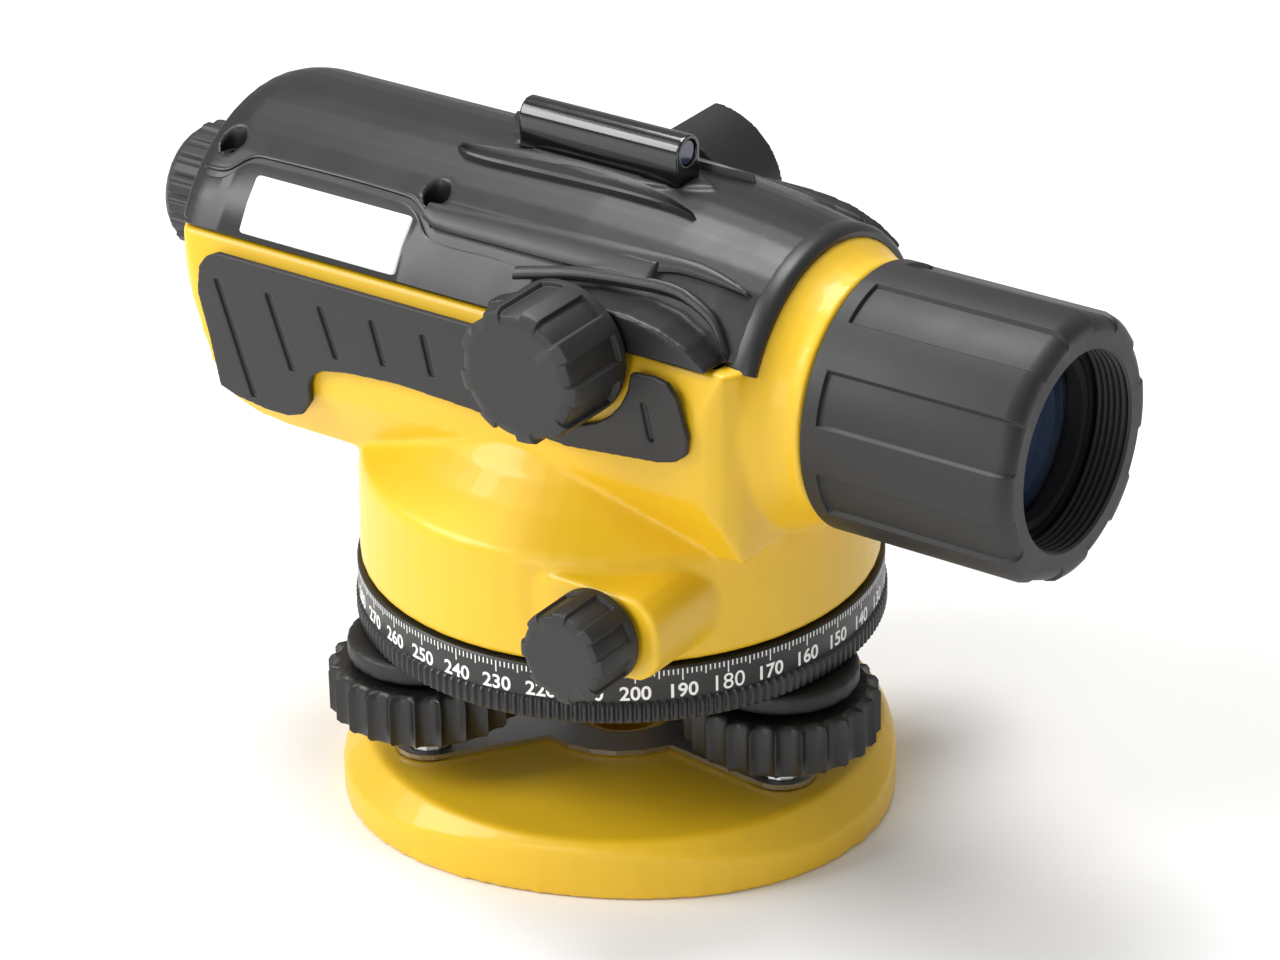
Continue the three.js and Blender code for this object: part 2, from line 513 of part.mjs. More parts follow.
function focusingRack() {
  const pitch = (2 * Math.PI * PINION.radius) / PINION.teeth;
  const land = FOCUS.z - PINION.radius - 0.5;
  const tip = land + 0.35;
  const teeth = Array.from({ length: 19 }, (_, i) => FOCUS.x + (9 - i + 0.5) * pitch).flatMap((x) =>
    [[x + 0.45, land], [x + 0.25, tip], [x - 0.25, tip], [x - 0.45, land]],
  );
  const outline = [[-3, 105.6], [30.6, 105.6], [30.6, land], ...teeth, [-3, land]];
  const bar = extruded(outline, "y", -PINION.near, -PINION.far);
  const arm = box([10, -PINION.near, 99.5], [18, -10.8, 106]);
  return join(bar, arm);
}
add("focusing_rack", focusingRack(), STEEL);
add("focusing_lens_cell", ring(CELL.inner, CELL.outer, CELL.rear, CELL.front, sightLine(24)), ALUMINIUM);
add("focusing_lens", turned([
  [0, 11.4], [CELL.inner - GAP, 10], [CELL.inner - GAP, 16], [0, 14.4],
], sightLine(20)), GLASS);

// ---- compensator ----
function openCage({ rear, front, half, bottom, top }, wall, sightRadius) {
  const block = box([rear, -half, bottom], [front, half, top]);
  const across = box([rear + wall, -FAR, bottom + wall], [front - wall, FAR, top - wall]);
  return cut(block, across, rod(sightRadius, -FAR, FAR, sightLine(28)));
}
add("compensator_frame", openCage(COMP, COMP.wall, 8.6), ALUMINIUM);
function pendulum() {
  const { rear, front, half, bottom, top, post } = PENDULUM;
  const along = box([-FAR, -half + post, bottom + 3], [FAR, half - post, top - 2.5]);
  const across = box([rear + post, -FAR, bottom + 3], [front - post, FAR, top - 2.5]);
  const vane = rod(2.8, 84, bottom + 1, { at: [-34, 0, 0], sides: 20 });
  return join(cut(box([rear, -half, bottom], [front, half, top]), along, across), vane);
}
add("compensator_pendulum", pendulum(), ALUMINIUM);
add("pendulum_prism", extruded([[-39.4, 91.4], [-28.6, 91.4], [-34, 103.5]], "y", -7, 7), GLASS);
add("fixed_prism_front", extruded([[-24.6, 94], [-19.6, 94], [-19.6, 107]], "y", -6.5, 6.5), GLASS);
add("fixed_prism_rear", extruded([[-48.4, 94], [-43.4, 94], [-48.4, 107]], "y", -6.5, 6.5), GLASS);
add("compensator_damper", cut(
  rod(5.4, COMP.bottom + COMP.wall + GAP, 86.6, { at: [-34, 0, 0], sides: 24 }),
  rod(4, 82.2, FAR, { at: [-34, 0, 0], sides: 24 }),
), BRASS);
for (const [name, x] of [["front", -28], ["rear", -40]]) {
  const strip = box([x - 0.2, -5, PENDULUM.top + GAP], [x + 0.2, 5, COMP.top - COMP.wall - GAP]);
  add(`suspension_ribbon_${name}`, strip, STEEL);
}

// ---- eyepiece end ----
add("eyepiece_tube", ring(EYE.tubeBore, EYE.tube, EYE.tubeRear, EYE.tubeFront, eyeLine(24)), ALUMINIUM);
add("reticle_cell", ring(5.6, EYE.tubeBore - GAP, -70, EYE.tubeFront, eyeLine(20)), BRASS);
add("reticle_glass", rod(5.3, -68.8, -67.4, eyeLine(28)), GLASS);
add("eyepiece_lens_cell", ring(EYE.cellBore, EYE.cell, -101, -79, eyeLine(24)), BLACK);
add("eye_lens", turned([[0, -100.4], [5.9, -99.2], [5.9, -96.4], [0, -95.4]], eyeLine(28)), GLASS);
function diopterRing() {
  const rim = toothed(RING.ribs, RING.radius - 0.8, RING.radius, 0.5, [0, EYE_Z]);
  const lip = turned([
    [0, RING.rear], [RING.radius - 2, RING.rear], [RING.radius - 0.8, RING.rear + 1.6],
    [RING.radius - 0.8, RING.rear + 4], [0, RING.rear + 4],
  ], eyeLine(28));
  return cut(
    join(extruded(rim, "x", RING.rear + 2.2, RING.front), lip),
    rod(RING.bore, RING.rear + 4.2, FAR, eyeLine(24)),
    rod(RING.mouth, -FAR, FAR, eyeLine(20)),
  );
}
add("diopter_ring", diopterRing(), RUBBER);

// ---- peep sight ----
const sightBore = { axis: "x", at: [0, 0, SIGHT.top - SIGHT.half], sides: 20 };
add("peep_sight", cut(
  extruded([
    [-SIGHT.half, SIGHT.bottom], [SIGHT.half, SIGHT.bottom],
    ...arc([0, SIGHT.top - SIGHT.half], SIGHT.half, 0, 180, 10),
  ], "x", SIGHT.rear, SIGHT.front),
  rod(SIGHT.bore, -FAR, FAR, sightBore),
), BLACK);
add("peep_sight_lens", rod(SIGHT.bore - GAP, SIGHT.front - 3, SIGHT.front - 0.4, sightBore), GLASS);

// ---- circular vial ----
const vialPlace = (sides) => ({ at: [VIAL.x, VIAL.y, 0], sides });
add("vial_housing", cut(
  join(
    rod(VIAL.outer, VIAL.bottom, VIAL.top, vialPlace(36)),
    box([VIAL.x - VIAL.outer + 0.4, GRIP.inner, VIAL.bottom], [VIAL.x + VIAL.outer - 0.4, VIAL.y, VIAL.top]),
  ),
  box([-FAR, 0, 0], [FAR, GRIP.inner, FAR]),
  rod(VIAL.inner, VIAL.bottom + 2, FAR, vialPlace(28)),
), BLACK);
add("circular_vial", rod(VIAL.inner - GAP, VIAL.bottom + 2.3, VIAL.top - 0.5, vialPlace(28)), GLASS);

function vialPrismHood() {
  const centre = [VIAL_HOOD.x, VIAL.top + GAP];
  const inner = VIAL_HOOD.radius - VIAL_HOOD.wall;
  const quarter = [centre, ...arc(centre, VIAL_HOOD.radius, 0, 90, 14)];
  const outside = extruded(quarter, "y", VIAL_HOOD.near, VIAL_HOOD.far);
  const [x, z] = centre;
  const hollow = extruded([
    [x - 1, z - 1], [x + inner, z - 1], ...arc(centre, inner, 0, 90, 14), [x - 1, z + inner],
  ], "y", VIAL_HOOD.near + VIAL_HOOD.wall, VIAL_HOOD.far - VIAL_HOOD.wall);
  return cut(outside, hollow);
}
add("vial_prism_hood", vialPrismHood(), BLACK);
add("vial_mirror", extruded([[-10.6, 123.4], [-9.9, 124.1], [2.2, 112], [1.5, 111.3]], "y",
  VIAL_HOOD.near + VIAL_HOOD.wall + GAP, VIAL_HOOD.far - VIAL_HOOD.wall - GAP), GLASS);

export default level;
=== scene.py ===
"""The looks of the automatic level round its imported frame: camera, light, materials, fine pieces. Metres."""
import json
import math

import bmesh
import bpy
from mathutils import Matrix, Vector

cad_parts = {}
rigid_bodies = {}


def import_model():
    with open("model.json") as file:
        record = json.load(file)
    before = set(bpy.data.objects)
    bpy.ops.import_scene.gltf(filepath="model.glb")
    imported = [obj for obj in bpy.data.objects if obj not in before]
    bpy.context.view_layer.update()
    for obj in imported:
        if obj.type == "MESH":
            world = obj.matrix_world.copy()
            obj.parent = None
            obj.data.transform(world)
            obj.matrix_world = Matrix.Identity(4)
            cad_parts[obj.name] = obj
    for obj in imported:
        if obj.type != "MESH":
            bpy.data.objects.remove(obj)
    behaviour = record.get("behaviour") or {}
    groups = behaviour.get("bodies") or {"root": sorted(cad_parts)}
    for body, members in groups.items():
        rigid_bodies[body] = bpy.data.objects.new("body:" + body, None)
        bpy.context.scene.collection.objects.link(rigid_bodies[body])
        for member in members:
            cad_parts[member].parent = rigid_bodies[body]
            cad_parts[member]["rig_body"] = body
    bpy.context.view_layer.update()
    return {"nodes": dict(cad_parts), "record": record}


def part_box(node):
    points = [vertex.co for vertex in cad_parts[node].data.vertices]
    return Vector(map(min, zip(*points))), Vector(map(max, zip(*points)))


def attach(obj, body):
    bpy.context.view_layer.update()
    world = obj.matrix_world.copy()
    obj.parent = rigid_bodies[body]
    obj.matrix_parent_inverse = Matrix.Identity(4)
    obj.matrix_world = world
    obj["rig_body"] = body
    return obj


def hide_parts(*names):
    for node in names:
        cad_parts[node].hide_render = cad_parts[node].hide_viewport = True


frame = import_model()
MM = 0.001
nodes = frame["nodes"]


# ---- places, from the frame ----
def middle(node):
    low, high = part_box(node)
    return (low + high) / 2


SIGHT_LINE_Z = middle("objective_barrel").z
RIM_LOW, RIM_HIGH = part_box("horizontal_circle")
RIM_RADIUS = (RIM_HIGH.x - RIM_LOW.x) / 2


# ---- camera ----
AZIMUTH = math.radians(35.47)
ELEVATION = math.radians(27.16)
ROLL = math.radians(-1.2)
DISTANCE = 1.0133
TARGET = Vector((0, 0, 0.060))
SENSOR_WIDTH, FOCAL_LENGTH = 36, 140.6  # both in mm
SHIFT = (0.0154, 0.0194)


def camera():
    across = Vector((math.cos(AZIMUTH), math.sin(AZIMUTH), 0))
    level = Vector((math.sin(AZIMUTH), -math.cos(AZIMUTH), 0))
    back = level * math.cos(ELEVATION) + Vector((0, 0, math.sin(ELEVATION)))
    up = -level * math.sin(ELEVATION) + Vector((0, 0, math.cos(ELEVATION)))
    x_axis = across * math.cos(ROLL) + up * math.sin(ROLL)
    y_axis = up * math.cos(ROLL) - across * math.sin(ROLL)
    data = bpy.data.cameras.new("camera")
    data.sensor_width, data.lens = SENSOR_WIDTH, FOCAL_LENGTH
    data.shift_x, data.shift_y = SHIFT
    data.clip_start, data.clip_end = 0.05, 20
    made = bpy.data.objects.new("camera", data)
    turn = Matrix((x_axis, y_axis, back)).transposed().to_4x4()
    made.matrix_world = Matrix.Translation(TARGET + back * DISTANCE) @ turn
    bpy.context.scene.collection.objects.link(made)
    bpy.context.scene.camera = made


camera()


# ---- light and floor ----
# Each light is its place, its size and its power in watts. All point at the target.
LIGHTS = {
    "key": ((-0.80, -0.75, 0.85), 0.7, 14),
    "top": ((-0.25, 0.20, 1.15), 0.5, 10),
    "front": ((0.10, -1.30, 0.35), 0.6, 3.5),
}
SKY_STRENGTH = 0.42
FLOOR_SIZE, FLOOR_Z = 12, -0.0002  # the floor lies just under the base


def area_light(name, place, size, watts):
    data = bpy.data.lights.new(name, "AREA")
    data.size, data.energy = size, watts
    made = bpy.data.objects.new(name, data)
    made.location = place
    made.rotation_euler = (TARGET - Vector(place)).to_track_quat("-Z", "Y").to_euler()
    bpy.context.scene.collection.objects.link(made)


def stage():
    bpy.ops.mesh.primitive_plane_add(size=FLOOR_SIZE, location=(0, 0, FLOOR_Z))
    floor = bpy.context.object
    floor.name = "floor"
    paper = bpy.data.materials.new("floor_paper")
    paper.use_nodes = True
    shader = paper.node_tree.nodes["Principled BSDF"]
    shader.inputs["Base Color"].default_value = (0.92, 0.92, 0.92, 1)
    shader.inputs["Roughness"].default_value = 0.8
    floor.data.materials.append(paper)
    world = bpy.data.worlds.new("studio")
    world.use_nodes = True
    sky = world.node_tree.nodes["Background"]
    sky.inputs["Color"].default_value = (1, 1, 1, 1)
    sky.inputs["Strength"].default_value = SKY_STRENGTH
    bpy.context.scene.world = world
    bpy.context.scene.view_settings.view_transform = "Standard"
    for name, settings in LIGHTS.items():
        area_light(name, *settings)


stage()


# ---- materials ----
PATCHES_PER_M = 90.0  # of the broad mottle
EDGE_POINTINESS = (0.52, 0.62)  # where the wear of an edge begins and is full


def surface(slot, colour, roughness, metallic=0.0, grain=0.25, bump=0.1, mottle=0.12, wear=0.25, **settings):
    """A moulded, cast or turned surface. Grain is the grain size in mm, mottle varies the colour in broad
    patches, wear lightens the edges, and settings go to the shader's own sockets."""
    made = bpy.data.materials.new(slot)
    made.use_nodes = True
    tree = made.node_tree
    shader = tree.nodes["Principled BSDF"]
    shader.inputs["Metallic"].default_value = metallic
    for socket, value in settings.items():
        shader.inputs[socket.replace("_", " ")].default_value = value

    def node(kind, **inputs):
        new = tree.nodes.new(kind)
        for name, value in inputs.items():
            new.inputs[name.replace("_", " ")].default_value = value
        return new

    place = tree.nodes.new("ShaderNodeTexCoord").outputs["Object"]
    fine = node("ShaderNodeTexNoise", Scale=1 / (grain * MM), Detail=3.0, Roughness=0.6)
    broad = node("ShaderNodeTexNoise", Scale=PATCHES_PER_M, Detail=4.0, Roughness=0.55)
    for texture in (fine, broad):
        tree.links.new(place, texture.inputs["Vector"])

    tone = tree.nodes.new("ShaderNodeMix")
    tone.data_type = "RGBA"
    tone.inputs["A"].default_value = (*[c * (1 - mottle) for c in colour], 1)
    tone.inputs["B"].default_value = (*[min(1, c * (1 + mottle)) for c in colour], 1)
    tree.links.new(broad.outputs["Fac"], tone.inputs["Factor"])

    edge = tree.nodes.new("ShaderNodeMapRange")
    edge.inputs["From Min"].default_value, edge.inputs["From Max"].default_value = EDGE_POINTINESS
    edge.inputs["To Max"].default_value = wear
    tree.links.new(tree.nodes.new("ShaderNodeNewGeometry").outputs["Pointiness"], edge.inputs["Value"])
    worn = tree.nodes.new("ShaderNodeMix")
    worn.data_type = "RGBA"
    worn.inputs["B"].default_value = (*[min(1, c * 1.6 + 0.03) for c in colour], 1)
    tree.links.new(edge.outputs["Result"], worn.inputs["Factor"])
    tree.links.new(tone.outputs["Result"], worn.inputs["A"])
    tree.links.new(worn.outputs["Result"], shader.inputs["Base Color"])

    rough = tree.nodes.new("ShaderNodeMapRange")
    rough.inputs["To Min"].default_value = max(0, roughness - 0.08)
    rough.inputs["To Max"].default_value = min(1, roughness + 0.1)
    tree.links.new(broad.outputs["Fac"], rough.inputs["Value"])
    tree.links.new(rough.outputs["Result"], shader.inputs["Roughness"])

    relief = node("ShaderNodeBump", Strength=bump, Distance=0.05 * MM)
    tree.links.new(fine.outputs["Fac"], relief.inputs["Height"])
    tree.links.new(relief.outputs["Normal"], shader.inputs["Normal"])
    return made


FINISHES = {
    "yellow_paint": surface(
        "yellow_paint", (0.80, 0.49, 0.012), 0.42, grain=0.35, bump=0.35, mottle=0.05, wear=0.1,
        Coat_Weight=0.15),
    "black_plastic": surface("black_plastic", (0.011, 0.0107, 0.0104), 0.38, grain=0.3, bump=0.5),
    "black_paint": surface("black_paint", (0.008, 0.008, 0.008), 0.5, grain=0.3, bump=0.3),
    "gloss_black": surface(
        "gloss_black", (0.006, 0.006, 0.007), 0.16, grain=0.8, bump=0.05, wear=0.1, Coat_Weight=0.5),
    "rubber": surface("rubber", (0.015, 0.0147, 0.0143), 0.48, grain=0.22, bump=0.5),
    "steel": surface("steel", (0.50, 0.50, 0.51), 0.3, metallic=1.0, grain=0.4, Anisotropic=0.4),
    "brass": surface("brass", (0.72, 0.53, 0.23), 0.3, metallic=1.0, grain=0.4),
    "aluminium": surface("aluminium", (0.10, 0.10, 0.105), 0.42, metallic=1.0, grain=0.3),
    "nylon": surface("nylon", (0.80, 0.78, 0.72), 0.5, grain=0.4),
    "label": surface("label", (0.84, 0.84, 0.85), 0.35, grain=0.6, bump=0.08, mottle=0.02, wear=0.05),
    "glass": surface(
        "glass", (0.10, 0.16, 0.30), 0.08, grain=2.0, bump=0.02, wear=0.0, Transmission_Weight=0.7,
        Coat_Weight=0.6),
    "mirror": surface("mirror", (0.88, 0.88, 0.89), 0.08, metallic=1.0, grain=2.0, bump=0.02),
    "dark_steel": surface("dark_steel", (0.045, 0.045, 0.047), 0.38, metallic=0.6, grain=0.3),
    "white_ink": surface("white_ink", (0.86, 0.86, 0.84), 0.5, grain=0.2, bump=0.15, mottle=0.05, wear=0.0),
}

SLOT_OF = {part["node"]: part["material_slot"] for part in frame["record"]["subparts"]}


def paint(obj, slot):
    obj.data.materials.clear()
    obj.data.materials.append(FINISHES[slot])


SHARP_ANGLE = math.radians(35)  # steeper edges are shaded sharp

# Moulded and cast nodes get rounded edges: voxel size in mm and smoothing steps, finer on the smaller pieces.
ROUNDED = {
    "lower_housing": (0.65, 9), "top_cover": (0.55, 6), "base_plate": (0.7, 6), "levelling_head": (0.8, 2),
    "right_grip": (0.28, 9), "left_grip": (0.28, 9), "diopter_ring": (0.3, 2),
    "peep_sight": (0.25, 2), "vial_prism_hood": (0.35, 2), "vial_housing": (0.35, 2),
}


def round_edges(node, voxel, steps):
    obj = nodes[node]
    remesh = obj.modifiers.new("form", "REMESH")
    remesh.mode = "VOXEL"
    remesh.voxel_size = voxel * MM * 1
    remesh.use_smooth_shade = True
    smooth = obj.modifiers.new("edges", "SMOOTH")
    smooth.factor = 0.5
    smooth.iterations = steps


for name, obj in nodes.items():
    paint(obj, "dark_steel" if name.startswith("cover_screw") else SLOT_OF[name])
    if name in ROUNDED:
        round_edges(name, *ROUNDED[name])
    else:
        obj.data.set_sharp_from_angle(angle=SHARP_ANGLE)


# ---- fine pieces ----
def piece(name, bm, slot, body):
    mesh = bpy.data.meshes.new(name)
    bm.to_mesh(mesh)
    bm.free()
    made = bpy.data.objects.new(name, mesh)
    bpy.context.scene.collection.objects.link(made)
    for face in mesh.polygons:
        face.use_smooth = True
    mesh.set_sharp_from_angle(angle=SHARP_ANGLE)
    paint(made, slot)
    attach(made, body)
    return made


def skin(name, grid, slot, body, wrap_across=True, wrap_along=True):
    """A surface through a grid of points. An end that doesn't wrap round is closed by one face."""
    bm = bmesh.new()
    loops = [[bm.verts.new(point) for point in loop] for loop in grid]
    count, width = len(loops), len(loops[0])
    for i in range(count if wrap_along else count - 1):
        here, there = loops[i], loops[(i + 1) % count]
        for j in range(width if wrap_across else width - 1):
            k = (j + 1) % width
            bm.faces.new((here[j], there[j], there[k], here[k]))
    if not wrap_along:
        bm.faces.new(loops[0])
        bm.faces.new(loops[-1][::-1])
    if not wrap_across:
        bm.faces.new([loop[0] for loop in loops])
        bm.faces.new([loop[-1] for loop in loops][::-1])
    bmesh.ops.recalc_face_normals(bm, faces=bm.faces)
    return piece(name, bm, slot, body)


# ---- knobs and hood, with recessed panels ----
EDGE = math.radians(0.6)  # half of the turn that the wall of a recess takes up
BEVEL_WIDTH, BEVEL_ANGLE = 0.16 * MM, math.radians(32)


def about_y(centre):
    return lambda radius, turn, y: (centre.x + radius * math.cos(turn), y, centre.z + radius * math.sin(turn))


def about_x(centre):
    return lambda radius, turn, x: (x, radius * math.cos(turn), centre.z + radius * math.sin(turn))


def about_z(centre):
    return lambda radius, turn, z: (centre.x + radius * math.cos(turn), centre.y + radius * math.sin(turn), z)


def panel_turns(panels, share, phase, steps=6):
    """The turns round a rim as (turn, 1 in a recess and 0 on a rib)."""
    pitch = 2 * math.pi / panels
    sunk, raised = share * pitch, (1 - share) * pitch
    turns = []
    for i in range(panels):
        start = math.radians(phase) + i * pitch
        turns += [(start + EDGE + (sunk - 2 * EDGE) * k / steps, 1) for k in range(steps + 1)]
        turns += [(start + sunk + EDGE + (raised - 2 * EDGE) * k / steps, 0) for k in range(steps + 1)]
    return turns


def revolved(name, node, slot, place, rows, turns, depth, closed):
    """A turned piece in a CAD node's place. A row is (radius, station, share of the recess depth cut there)."""
    grid = [[place(r - depth * cut * sunk, turn, s) for r, s, cut in rows] for turn, sunk in turns]
    made = skin(name, grid, slot, nodes[node]["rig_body"], wrap_across=closed)
    bevel = made.modifiers.new("edges", "BEVEL")
    bevel.width, bevel.segments = BEVEL_WIDTH, 2
    bevel.limit_method, bevel.angle_limit = "ANGLE", BEVEL_ANGLE
    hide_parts(node)


def hand_knob(node, panels, facing, phase):
    """A knob on a cross axis, with panels round its rim. Facing is -1 to the right and 1 to the left."""
    low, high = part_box(node)
    radius = (high.x - low.x) / 2
    face, back = (low.y, high.y) if facing < 0 else (high.y, low.y)
    rim = 0.11 * radius
    rows = [
        (radius * 0.5, face, 0), (radius - 2.4 * rim, face, 0), (radius - 1.2 * rim, face, 1),
        (radius - 0.3 * rim, face - facing * 0.4 * rim, 1), (radius, face - facing * 1.1 * rim, 1),
        (radius, back + facing * 2.2 * MM, 1), (radius, back + facing * 1.9 * MM, 0),
        (radius, back + facing * 0.3 * MM, 0), (radius - 0.3 * MM, back, 0), (radius * 0.5, back, 0),
    ]
    turns, depth = panel_turns(panels, 0.56, phase), 0.075 * radius
    revolved(node + "_grip", node, "rubber", about_y(middle(node)), rows, turns, depth, closed=False)


hand_knob("focusing_knob", 9, -1, 5)
hand_knob("tangent_knob_right", 8, -1, 12)
hand_knob("tangent_knob_left", 8, 1, 12)


HOOD_BORE, HOOD_MOUTH = 22.2 * MM, 19.65 * MM  # radii behind and at the rings
HOOD_PANEL_DEPTH = 0.9 * MM
CAP_RINGS, RING_PITCH, RINGS_START = 5, 1.3 * MM, 7.4 * MM  # a thread of rings for a lens cap


def hood():
    low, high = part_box("objective_hood")
    radius = (high.z - low.z) / 2
    front, back = high.x, low.x
    mouth, bore = HOOD_MOUTH, HOOD_BORE
    rows = [
        (radius - 3.7 * MM, front, 0), (radius - 2.6 * MM, front, 1), (radius - 1.5 * MM, front - 0.5 * MM, 1),
        (radius - 0.5 * MM, front - 1.7 * MM, 1), (radius, front - 3.5 * MM, 1), (radius, back + 3.7 * MM, 1),
        (radius, back + 3.4 * MM, 0), (radius, back + 0.3 * MM, 0), (radius - 0.3 * MM, back, 0),
        (bore, back, 0), (bore, front - 7.6 * MM, 0),
    ]
    for i in range(CAP_RINGS):
        start = front - RINGS_START + i * RING_PITCH
        rows += [(mouth, start, 0), (mouth, start + 0.5 * MM, 0), (mouth + 0.5 * MM, start + 0.9 * MM, 0)]
    rows += [(mouth, front - 0.5 * MM, 0), (mouth + 0.5 * MM, front, 0)]
    turns, place = panel_turns(8, 0.5, 11.25), about_x(middle("objective_hood"))
    revolved("hood_shell", "objective_hood", "rubber", place, rows, turns, HOOD_PANEL_DEPTH, closed=True)


hood()


FLUTES, FLUTE_STEPS, FLUTE_DEPTH = 24, 8, 1.9 * MM


def foot_knob(number):
    """A fluted knob: wide scallops between thin ridges, and a cup in its top."""
    node = f"foot_screw_{number}_knob"
    low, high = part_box(node)
    radius = (high.x - low.x) / 2
    bore, cup, cup_floor = 4.1 * MM, 11.5 * MM, low.z + 3.5 * MM
    rows = [
        (bore, low.z, 0), (radius - 2.6 * MM, low.z, 0), (radius - 1.0 * MM, low.z + 0.5 * MM, 0.6),
        (radius, low.z + 1.6 * MM, 1), (radius, high.z - 1.6 * MM, 1),
        (radius - 0.7 * MM, high.z - 0.5 * MM, 0.8), (radius - 2.2 * MM, high.z, 0.3),
        (cup + 2.0 * MM, high.z, 0), (cup, high.z - 0.6 * MM, 0),
        (cup, cup_floor, 0), (bore, cup_floor, 0),
    ]
    turns = []
    for i in range(FLUTES * FLUTE_STEPS):
        across = abs(2 * (i % FLUTE_STEPS) / FLUTE_STEPS - 1)
        turns.append((2 * math.pi * i / (FLUTES * FLUTE_STEPS), 1 - across ** 3))
    place = about_z(middle(node))
    revolved(node + "_rim", node, "black_plastic", place, rows, turns, FLUTE_DEPTH, closed=True)


for number in (1, 2, 3):
    foot_knob(number)


# ---- horizontal circle ----
KNURLS = 188
KNURL_DEPTH = 0.55 * MM
KNURL_STEPS = 4  # points round each knurl, half of them in its groove
SCALE_INSET = 0.5 * MM  # how far the smooth band lies inside the rim


def graduated_ring():
    """The horizontal circle with its knurled band below a smooth band for the scale."""
    low, high = RIM_LOW.z, RIM_HIGH.z
    outer, inner = RIM_RADIUS, RIM_RADIUS - 3.4 * MM
    bore, floor = 19.4 * MM, low + 3.2 * MM
    # A row is (radius, height, 1 where the knurl cuts it).
    rows = [
        (bore, low, 0), (outer - 0.9 * MM, low, 0), (outer - 0.1 * MM, low + 0.5 * MM, 1),
        (outer, low + 1.0 * MM, 1), (outer, low + 4.0 * MM, 1), (outer - 0.3 * MM, low + 4.5 * MM, 1),
        (outer - 0.7 * MM, low + 4.8 * MM, 0), (outer - SCALE_INSET, low + 5.1 * MM, 0),
        (outer - SCALE_INSET, high - 0.3 * MM, 0), (outer - 0.8 * MM, high, 0), (inner, high, 0),
        (inner, floor, 0), (bore, floor, 0),
    ]
    steps = KNURLS * KNURL_STEPS
    bm = bmesh.new()
    loops = []
    for i in range(steps):
        angle = 2 * math.pi * i / steps
        cut = KNURL_DEPTH if i % KNURL_STEPS >= KNURL_STEPS // 2 else 0
        loops.append([
            bm.verts.new(((r - cut * k) * math.cos(angle), (r - cut * k) * math.sin(angle), z))
            for r, z, k in rows
        ])
    for i, loop in enumerate(loops):
        following = loops[(i + 1) % steps]
        for j in range(len(rows)):
            k = (j + 1) % len(rows)
            bm.faces.new((loop[j], following[j], following[k], loop[k]))
    bmesh.ops.recalc_face_normals(bm, faces=bm.faces)
    ring = piece("graduated_ring", bm, "black_plastic", "horizontal_circle")
    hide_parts("horizontal_circle")


graduated_ring()

SCALE_RADIUS = RIM_RADIUS - SCALE_INSET
ZERO_ANGLE = math.radians(147.8)  # where on the circle the reading 0 lies
INK = 0.04 * MM  # how far the marks stand out of the ring
TICK_TOP = RIM_HIGH.z - 0.45 * MM
FIGURE_BASE = RIM_HIGH.z - 6.6 * MM


def on_ring(along, height, out):
    """A point of the scale: along is an angle on the circle, out is the height off its surface."""
    radius = SCALE_RADIUS + out
    return (radius * math.cos(along), radius * math.sin(along), height)


def scale_ticks():
    """A line for each degree, longer every 5 and longest every 10 degrees."""
    bm = bmesh.new()
    top, half = TICK_TOP, 0.12 * MM / SCALE_RADIUS
    for degree in range(360):
        length = 2.5 * MM if degree % 10 == 0 else 1.8 * MM if degree % 5 == 0 else 1.2 * MM
        angle = ZERO_ANGLE - math.radians(degree)
        left, right, foot = angle - half, angle + half, top - length
        corners = [(left, foot), (right, foot), (right, top), (left, top)]
        inner = [bm.verts.new(on_ring(a, z, -0.05 * MM)) for a, z in corners]
        outer = [bm.verts.new(on_ring(a, z, INK)) for a, z in corners]
        bm.faces.new(outer)
        bm.faces.new(inner[::-1])
        for i in range(4):
            k = (i + 1) % 4
            bm.faces.new((inner[i], inner[k], outer[k], outer[i]))
    piece("scale_ticks", bm, "white_ink", "horizontal_circle")


scale_ticks()


def scale_figures():
    """The numbers every 10 degrees, bent round the ring. They read upright and rise to the left, and 0 and 180
    are larger."""
    bm = bmesh.new()
    for degree in range(0, 360, 10):
        curve = bpy.data.curves.new("figure", "FONT")
        curve.body = str(degree)
        curve.align_x = "CENTER"
        large = degree % 180 == 0
        curve.size = (4.9 if large else 4.2) * MM
        curve.offset = (0.0 if large else 0.08) * MM
        curve.extrude = INK
        curve.resolution_u = 4
        holder = bpy.data.objects.new("figure", curve)
        mesh = holder.to_mesh()
        angle = ZERO_ANGLE - math.radians(degree)
        for v in mesh.vertices:
            v.co = on_ring(angle + v.co.x / SCALE_RADIUS, FIGURE_BASE + v.co.y, v.co.z)
        bm.from_mesh(mesh)
        holder.to_mesh_clear()
        bpy.data.objects.remove(holder)
        bpy.data.curves.remove(curve)
    piece("scale_figures", bm, "white_ink", "horizontal_circle")


scale_figures()


# ---- moulding on the top cover ----
# A route over the cover is (station along the line of sight in mm, angle above the horizontal in degrees), and
# BARREL is the cover's radius round the line of sight in mm.
BARREL = [(-86, 33.4), (-82, 34.9), (-79, 35.3), (6, 35.3), (26, 34.3), (40, 32.7), (50, 31.0)]
SEAM_ANGLE = 23.4  # where the cover meets the housing
SUNK = 0.9  # how far in mm each moulding reaches into the cover


def slope(route, i):
    before, after = route[max(0, i - 1)], route[min(len(route) - 1, i + 1)]
    return (after[1] - before[1]) / (after[0] - before[0])


def along(route, station):
    """The value of a route at a station, on a smooth curve through its points."""
    station = min(max(station, route[0][0]), route[-1][0])
    i = max(k for k in range(len(route) - 1) if station >= route[k][0])
    (x0, a0), (x1, a1) = route[i], route[i + 1]
    width = x1 - x0
    t = (station - x0) / width
    start, end = slope(route, i) * width, slope(route, i + 1) * width
    return a0 + t * (start + t * (3 * (a1 - a0) - 2 * start - end + t * (2 * (a0 - a1) + start + end)))


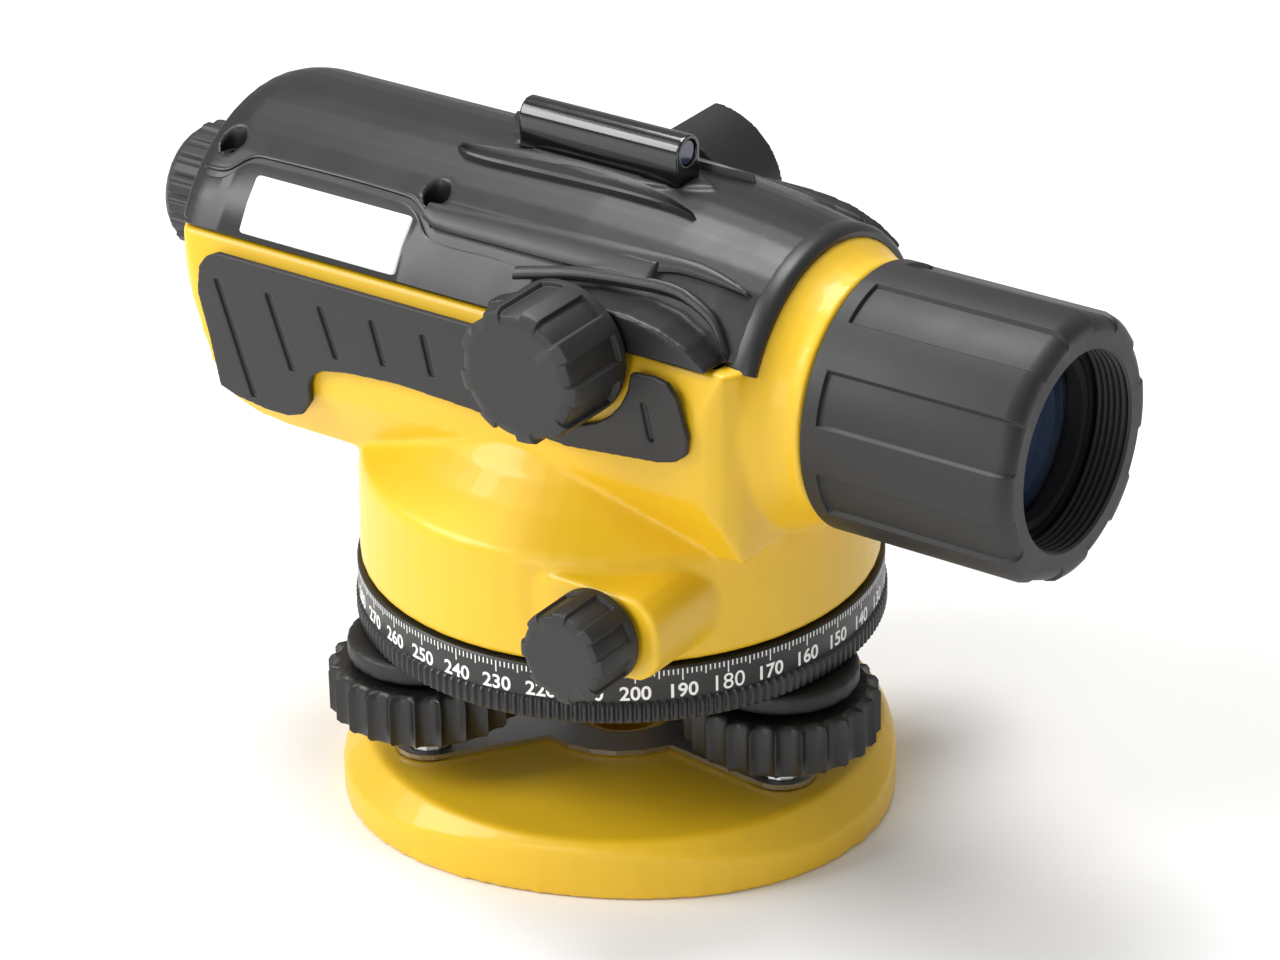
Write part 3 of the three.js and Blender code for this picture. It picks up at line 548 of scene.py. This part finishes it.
def moulding(name, side, lower, upper, section, lift, slot="black_plastic", step=1.0):
    """A raised form between two routes. Its section is (share of the width, share of the lift), lift and step
    are in mm, and the lift falls away at both ends."""
    first, last = lower[0][0], lower[-1][0]
    count = int((last - first) / step)
    grid = []
    for i in range(count + 1):
        station = first + (last - first) * i / count
        ends = min(1, (min(i, count - i) + 0.15) * step / 1.2)
        low, high = along(lower, station), along(upper, station)
        reach = along(BARREL, station)
        loop = []
        for share, rise in section:
            turn = math.radians(low + (high - low) * share)
            radius = (reach - SUNK + (SUNK + lift) * rise * ends) * MM
            y, z = side * radius * math.cos(turn), SIGHT_LINE_Z + radius * math.sin(turn)
            loop.append((station * MM, y, z))
        grid.append(loop)
    return skin(f"{name}_{'right' if side < 0 else 'left'}", grid, slot, "alidade", wrap_along=False)


FLAT = [(0, 0), (0, 0.9), (0.02, 1), (0.5, 1), (0.96, 1), (1, 0.85), (1, 0)]
CROWN = [(0, 0), (0.04, 0.75), (0.15, 0.92), (0.35, 1), (0.65, 1), (0.85, 0.92), (0.96, 0.75), (1, 0)]
BLADES = [
    (0, 0), (0.05, 0.85), (0.16, 1), (0.34, 0.86), (0.55, 0.62), (0.74, 0.55), (0.86, 0.9), (0.93, 1), (1, 0),
]

PANEL_TOP = [
    (-84, 40.5), (-77, 41), (-73, 47), (-70, 48.5), (-34, 48.5), (-30, 46), (-25, 39.5), (-8, 39), (2, 38),
]
BAND_LOW = [(-29, 46), (-25, 43), (-8, 42.6), (6, 42.8), (15, 43.6), (24, 47.6), (31, 50.6), (46, 50.2)]
BAND_HIGH = [(-29, 51), (-12, 52.8), (11, 54.8), (33, 56.6), (40, 54.8), (46, 51.4)]
ARCH = [(-4, 36), (2, 38.4), (10, 41.4), (24, 44.2), (32, 44.6), (38, 41.6), (42, 37.4), (46, 28)]
LEAF_LOW = [(-31, 74.4), (-27, 70.9), (-14, 70.6), (4, 71.6), (20, 72.6), (27, 71.9)]
LEAF_HIGH = [(-31, 74.9), (-22, 77.4), (-13, 80.0), (-4, 81.4), (6, 80.2), (17, 77.2), (27, 72.4)]


def shifted(route, degrees):
    return [(x, angle + degrees) for x, angle in route]


LABEL_STEP = 0.35


def label_edges():
    """Lower and upper routes of the label, with rounded corners."""
    first, last, low, high, corner, label_radius = -69.9, -29.0, 25.2, 44.6, 2.2, 36
    lower, upper = [], []
    starts = [first + k * LABEL_STEP for k in range(7)]
    ends = [last - (6 - k) * LABEL_STEP for k in range(7)]
    for x in starts + ends:
        near = min(x - first, last - x)
        inset = corner - math.sqrt(max(0, corner ** 2 - max(0, corner - near) ** 2))
        degrees = math.degrees(inset / label_radius)
        lower.append((x, low + degrees))
        upper.append((x, high - degrees))
    return lower, upper


for side in (-1, 1):
    moulding("side_panel", side, [(-84, SEAM_ANGLE), (2, SEAM_ANGLE)], PANEL_TOP, FLAT, 0.7)
    moulding("groove_lip", side, shifted(PANEL_TOP[:7], 2.2), shifted(PANEL_TOP[:7], 4.0), CROWN, 0.35)
    moulding("side_band", side, BAND_LOW, BAND_HIGH, CROWN, 1.1)
    moulding("knob_arch", side, shifted(ARCH, -2.4), shifted(ARCH, 2.0), CROWN, 1.7)
    moulding("sight_blades", side, LEAF_LOW, LEAF_HIGH, BLADES, 1.35)

label = moulding("label_blank", -1, *label_edges(), FLAT, 1.05, slot="label", step=LABEL_STEP)
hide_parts("label_plate")


# The lip's section is (station in mm, radius round the line of sight in mm).
LIP = [
    (45.0, 31.0), (47.5, 31.5), (49.6, 31.4), (50.8, 30.9),
    (51.4, 30.1), (51.3, 29.1), (50.4, 28.2), (46, 28.2),
]
LIP_STEPS = 80


def cover_lip():
    """The rounded front edge of the cover, round the collar."""
    first, span = SEAM_ANGLE + 0.6, 178.8 - 2 * SEAM_ANGLE
    grid = []
    for i in range(LIP_STEPS + 1):
        turn = math.radians(first + span * i / LIP_STEPS)
        grid.append([
            (x * MM, r * MM * math.cos(turn), SIGHT_LINE_Z + r * MM * math.sin(turn)) for x, r in LIP
        ])
    skin("cover_front_lip", grid, "black_plastic", "alidade", wrap_along=False)


cover_lip()
